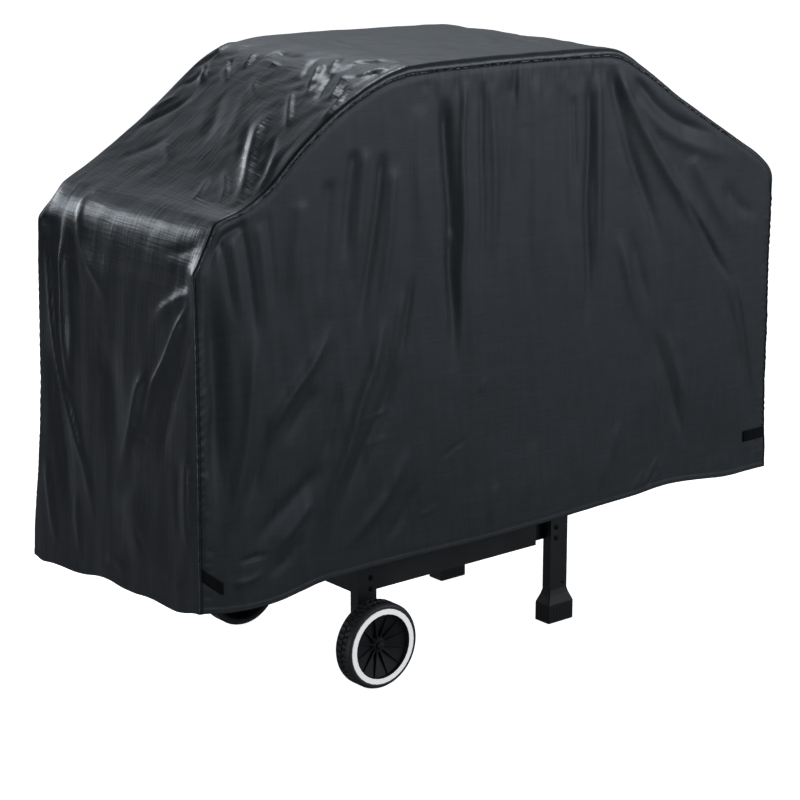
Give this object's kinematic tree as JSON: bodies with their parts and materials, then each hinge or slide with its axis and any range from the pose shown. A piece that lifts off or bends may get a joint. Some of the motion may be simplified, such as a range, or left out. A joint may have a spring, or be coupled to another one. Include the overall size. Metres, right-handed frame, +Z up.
{
  "type": "grill cover",
  "caption": "Fitted fabric cover with sloping shoulders and corner straps, draped on a two-wheeled gas grill cart with flared feet; the cover lifts off and the wheels turn.",
  "frame": {"origin": "under the middle of the cover's bounding box, on the ground the feet and wheels stand on", "axes": "+X along the long side towards the two feet, +Z up, -Y the front, where the control panel is under the cover"},
  "size_m": [1.524, 0.5342, 1.225],
  "materials": {
    "cover_fabric": "satin coated weave",
    "strap_webbing": "matt",
    "tyre_plastic": "matt",
    "white_ring": "matt",
    "black_plastic": "satin",
    "black_fastener": "satin",
    "steel": "brushed",
    "cast_aluminium": "matt",
    "grate_iron": "matt",
    "black_paint": "satin"
  },
  "bodies": {
    "cart": {"back_axle": "steel", "back_axle_cap": "black_plastic", "back_foot_screw": "black_fastener", "back_left_leg": "black_paint", "back_left_lower_bolt": "black_fastener", "back_left_upper_bolt": "black_fastener", "back_rail": "black_paint", "back_right_foot": "black_plastic", "back_right_leg": "black_paint", "back_right_lower_bolt": "black_fastener", "back_right_upper_bolt": "black_fastener", "bottom_shelf": "black_paint", "burner": "steel", "control_panel": "black_paint", "cooking_grate": "grate_iron", "firebox": "cast_aluminium", "front_axle": "steel", "front_axle_cap": "black_plastic", "front_foot_screw": "black_fastener", "front_left_leg": "black_paint", "front_left_lower_bolt": "black_fastener", "front_left_upper_bolt": "black_fastener", "front_rail": "black_paint", "front_right_foot": "black_plastic", "front_right_leg": "black_paint", "front_right_lower_bolt": "black_fastener", "front_right_upper_bolt": "black_fastener", "gas_manifold": "steel", "heat_plate": "steel", "hood": "cast_aluminium", "hood_handle": "black_plastic", "left_hood_hinge_pin": "steel", "left_rail": "black_paint", "left_shelf": "black_plastic", "left_shelf_back_bracket": "black_paint", "left_shelf_front_bracket": "black_paint", "right_hood_hinge_pin": "steel", "right_rail": "black_paint", "right_shelf": "black_plastic", "right_shelf_back_bracket": "black_paint", "right_shelf_front_bracket": "black_paint"},
    "cover": {"cover_back_panel": "cover_fabric", "cover_front_panel": "cover_fabric", "cover_top_strip": "cover_fabric"},
    "front_left_strap": {"front_left_strap": "strap_webbing"},
    "front_right_strap": {"front_right_strap": "strap_webbing"},
    "front_wheel": {"front_wheel_tyre": "tyre_plastic", "front_wheel_white_ring": "white_ring", "front_wheel_rim": "black_plastic"},
    "back_left_strap": {"back_left_strap": "strap_webbing"},
    "back_right_strap": {"back_right_strap": "strap_webbing"},
    "back_wheel": {"back_wheel_tyre": "tyre_plastic", "back_wheel_white_ring": "white_ring", "back_wheel_rim": "black_plastic"},
    "left_knob": {"left_knob": "black_plastic"},
    "right_knob": {"right_knob": "black_plastic"},
    "igniter_button": {"igniter_button": "black_plastic"}
  },
  "joints": [
    {"name": "cover_lift", "type": "slide", "parent": "cart", "child": "cover", "axis": [0, 0, 1], "range_m": [0, 1]},
    {"name": "front_left_strap_swing", "type": "hinge", "parent": "cover", "child": "front_left_strap", "pos_m": [-0.76, -0.26635, 0.321], "axis": [0, 0, -1], "range_deg": [0, 170]},
    {"name": "front_right_strap_swing", "type": "hinge", "parent": "cover", "child": "front_right_strap", "pos_m": [0.76, -0.26635, 0.339], "axis": [0, 0, 1], "range_deg": [0, 170]},
    {"name": "back_left_strap_swing", "type": "hinge", "parent": "cover", "child": "back_left_strap", "pos_m": [-0.76, 0.26635, 0.321], "axis": [0, 0, 1], "range_deg": [0, 170]},
    {"name": "back_right_strap_swing", "type": "hinge", "parent": "cover", "child": "back_right_strap", "pos_m": [0.76, 0.26635, 0.339], "axis": [0, 0, -1], "range_deg": [0, 170]},
    {"name": "front_wheel_spin", "type": "hinge", "parent": "cart", "child": "front_wheel", "pos_m": [-0.322, -0.2335, 0.089], "axis": [0, 1, 0], "continuous": true},
    {"name": "back_wheel_spin", "type": "hinge", "parent": "cart", "child": "back_wheel", "pos_m": [-0.322, 0.2335, 0.089], "axis": [0, 1, 0], "continuous": true},
    {"name": "left_knob_turn", "type": "hinge", "parent": "cart", "child": "left_knob", "pos_m": [-0.16, -0.246, 0.898], "axis": [0, -1, 0], "range_deg": [0, 135]},
    {"name": "right_knob_turn", "type": "hinge", "parent": "cart", "child": "right_knob", "pos_m": [0.16, -0.246, 0.898], "axis": [0, -1, 0], "range_deg": [0, 135]},
    {"name": "igniter_push", "type": "slide", "parent": "cart", "child": "igniter_button", "axis": [0, 1, 0], "range_m": [0, 0.004], "stiffness_N_per_m": 200}
  ]
}
